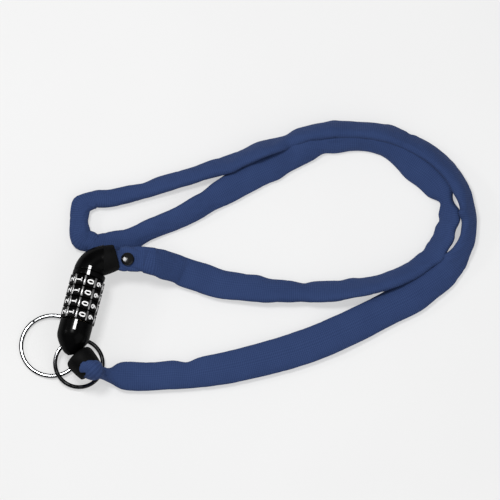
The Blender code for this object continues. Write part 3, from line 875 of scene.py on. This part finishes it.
def sleeve_mesh(name, sections):
    """A closed tube of cloth through the sections, with the weave's lengths along and round it."""
    bm = bmesh.new()
    uv = bm.loops.layers.uv.new("weave")
    around = 40
    rings = []
    lengths = []
    for n, (middle, flat, thick, half_width, half_thick, length, station) in enumerate(sections):
        ahead = sections[min(n + 6, len(sections) - 1)]
        behind = sections[max(n - 6, 0)]
        pinched = 1.4 * min(1.0, max(0.0, (station - RIVET_STATION + 2) / 2))
        twist = max(pinched, min(1.0, (ahead[1] - behind[1]).length * 1.2))
        ring = []
        for k in range(around):
            turn = math.tau * k / around
            c, s = math.cos(turn), math.sin(turn)
            across = math.copysign(abs(c) ** 0.80, c)
            tall = math.copysign(abs(s) ** 0.92, s)
            proud = wrinkle(length, across, turn, twist)
            out = flat * across * (half_width + 0.3 * proud) + thick * tall * (half_thick + proud)
            ring.append(bm.verts.new(world(middle + out)))
        rings.append(ring)
        lengths.append(length)
    join_rings(bm, rings)
    bm.faces.new(rings[0])
    bm.faces.new(rings[-1])
    row = {vert: n for n, ring in enumerate(rings) for vert in ring}
    column = {vert: k for ring in rings for k, vert in enumerate(ring)}
    for face in bm.faces:
        if len(face.verts) != 4:
            continue
        wraps = max(column[v] for v in face.verts) == around - 1
        for loop in face.loops:
            k = column[loop.vert]
            k = around if wraps and k == 0 else k
            loop[uv].uv = (lengths[row[loop.vert]] * MM, k / around * CLOTH_GIRTH * MM)
    return finish_mesh(bm, name, 80)


def sleeve(material):
    """The cloth in two stretches: the main one, attached to the barrel, and the last one from SPLIT_STATION
    on, attached to no body.
    """
    sections = band_sections()
    cut = next(n for n, section in enumerate(sections) if section[-1] >= SPLIT_STATION)
    main = sections[: cut + 1]
    end = sections[cut:]
    main = [*mouth_sections(main[0]), *main]
    cloth = add_piece(
        "sleeve_cloth", sleeve_mesh("sleeve_cloth", main), material, "barrel", ["sleeve"]
    )
    end = [*end, *cuff_sections(end[-1])]
    tail = add_piece(
        "sleeve_tail", sleeve_mesh("sleeve_tail", end), material, None, ["sleeve_cuff"]
    )
    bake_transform(tail)


def mouth_sections(first):
    """The rounded end of the cloth, bunched up and turned back over the lower socket's rim."""
    middle, flat, _, half_width, half_thick, length, station = first
    reach = 9.2
    steps = 9
    turning = 38
    at = middle
    made = []
    for k in range(1, steps + 1):
        share = k / steps
        side = flat.xy.normalized().to_3d()
        side.rotate(Euler((0, 0, math.radians(turning * share))))
        at = at - Vector((side.y, -side.x, 0)) * reach / steps
        plump = math.sqrt(1 - (0.97 * share) ** 4)
        width = (half_width - 0.8 * share) * plump
        height = (half_thick + 1.3 * share) * math.sqrt(plump)
        slid = at - side * 2.7 * share
        made.insert(0, (slid, side, Vector((0, 0, 1)), width, height, length - reach * share, station))
    return made


def cuff_sections(last):
    """The sleeve's flat end round the strip, drawn in where it meets the upper socket's mouth."""
    length, station = last[-2:]
    side = Vector((-STRIP_TOWARDS.y, STRIP_TOWARDS.x, 0))
    up = Vector((0, 0, 1))
    made = []
    reach = 22.0
    stop = 2.8
    mouth = 6.2
    steps = 18
    for k in range(steps + 1):
        share = k / steps
        at = reach - share * (reach - stop)
        drawn = max(0.0, (share - 0.55) / 0.45)
        width = 8.2 - 1.0 * drawn if at > mouth else 5.6
        middle = STRIP_FROM + STRIP_TOWARDS * at + side * 1.6 * (1 - share**2)
        made.append((middle, -side, up, width, 3.6 - 0.3 * drawn, length + 10 + share * 19, station))
    return made


# ---------------------------------------------------------------- the CAD nodes that stay


def dress_cad(materials):
    """Materials for the CAD nodes that no skin replaces."""
    dressed = {
        "index_lower": "white",
        "index_collar": "white",
        "index_plug": "white",
        "core_tube": "zinc",
        "detent_leaf": "steel",
        "lower_cross_pin": "steel",
        "upper_cross_pin": "steel",
        "chain_end_link": "steel",
        "ring_eye": "chrome",
        "bolt_pin": "steel",
        "tie_strip": "steel",
    }
    for i in range(1, DIALS + 1):
        dressed[f"code_ring_{i}"] = "brass"
    for node, kind in dressed.items():
        for held in frame["nodes"][node].material_slots:
            held.material = materials[kind]


# ---------------------------------------------------------------- stage


def studio():
    """The floor, a sky that is brighter overhead, and three soft lights."""
    floor = bmesh.new()
    bmesh.ops.create_grid(floor, x_segments=8, y_segments=8, size=3.0)
    mesh = finish_mesh(floor, "floor")
    obj = bpy.data.objects.new("floor", mesh)
    bpy.context.scene.collection.objects.link(obj)
    mesh.materials.append(pale_floor())

    bpy.context.scene.view_settings.view_transform = "Standard"
    sky = bpy.data.worlds.new("studio")
    bpy.context.scene.world = sky
    sky.use_nodes = True
    tree = sky.node_tree
    height = tree.nodes.new("ShaderNodeSeparateXYZ")
    tree.links.new(tree.nodes.new("ShaderNodeTexCoord").outputs["Generated"], height.inputs["Vector"])
    strength = tree.nodes.new("ShaderNodeMapRange")
    strength.inputs["To Min"].default_value = 0.08
    strength.inputs["To Max"].default_value = 0.52
    tree.links.new(height.outputs["Z"], strength.inputs["Value"])
    background = tree.nodes["Background"]
    background.inputs["Color"].default_value = (1, 1, 1, 1)
    tree.links.new(strength.outputs["Result"], background.inputs["Strength"])

    middle = world(CAMERA_AIM)
    softbox("key", middle, Vector((-0.34, 0.10, 1.1)), size=0.26, power=7.6)
    softbox("side", middle, Vector((-1.30, -0.05, 0.85)), size=0.20, power=3.0)
    softbox("fill", middle, Vector((0.8, -0.5, 0.8)), size=1.2, power=5)


def softbox(name, aim, away, size, power):
    """A square light, placed by its offset from what it is aimed at."""
    light = bpy.data.lights.new(name, "AREA")
    light.size = size
    light.energy = power
    obj = bpy.data.objects.new(name, light)
    obj.location = aim + away
    obj.rotation_euler = (-away).to_track_quat("-Z", "Y").to_euler()
    bpy.context.scene.collection.objects.link(obj)


def camera():
    """A very long lens from far away, for outlines that stay nearly parallel."""
    aim = world(CAMERA_AIM)
    back = -CAMERA_UP * math.cos(CAMERA_ELEVATION)
    back = (back + Vector((0, 0, math.sin(CAMERA_ELEVATION)))).normalized()
    data = bpy.data.cameras.new("camera")
    data.sensor_width = SENSOR_WIDTH
    data.lens = SENSOR_WIDTH * CAMERA_DISTANCE / VIEW_WIDTH
    data.clip_start = 0.05
    data.clip_end = 20
    obj = bpy.data.objects.new("camera", data)
    right = CAMERA_UP.cross(Vector((0, 0, 1))).normalized()
    axes = Matrix((right, back.cross(right), back)).transposed().to_4x4()
    obj.matrix_world = Matrix.Translation(aim + back * CAMERA_DISTANCE * MM) @ axes
    bpy.context.scene.collection.objects.link(obj)
    bpy.context.scene.camera = obj


def main():
    camera()
    black = gloss_black()
    plastic = matte_black()
    plate = chrome()
    wear_and_painted_reflection = bare_metal("worn_rib", (0.22, 0.22, 0.22), (0.40, 0.40, 0.40), 900, (0.26, 0.34))
    white = white_paint()
    sleeve(woven_blue())
    housing_skin(black)
    collar_skin(black)
    for i in range(1, DIALS + 1):
        dial_skin(i, black, wear_and_painted_reflection)
    digit_rings(white)
    lower_socket_skin(plastic)
    elbow_skin(black)
    upper_socket_skin(plastic)
    rivet_skin(gloss_black("rivet_lacquer", 0.08, 0.26))
    for name, shape in RINGS.items():
        split_ring(name, *shape, plate)
    dress_cad(
        {
            "white": white,
            "chrome": plate,
            "steel": bare_metal("steel", (0.42, 0.43, 0.44), (0.60, 0.61, 0.62), 900),
            "zinc": bare_metal("zinc", (0.34, 0.34, 0.33), (0.48, 0.48, 0.47), 500),
            "brass": bare_metal("brass", (0.52, 0.36, 0.14), (0.68, 0.50, 0.22), 700),
        }
    )
    studio()


main()
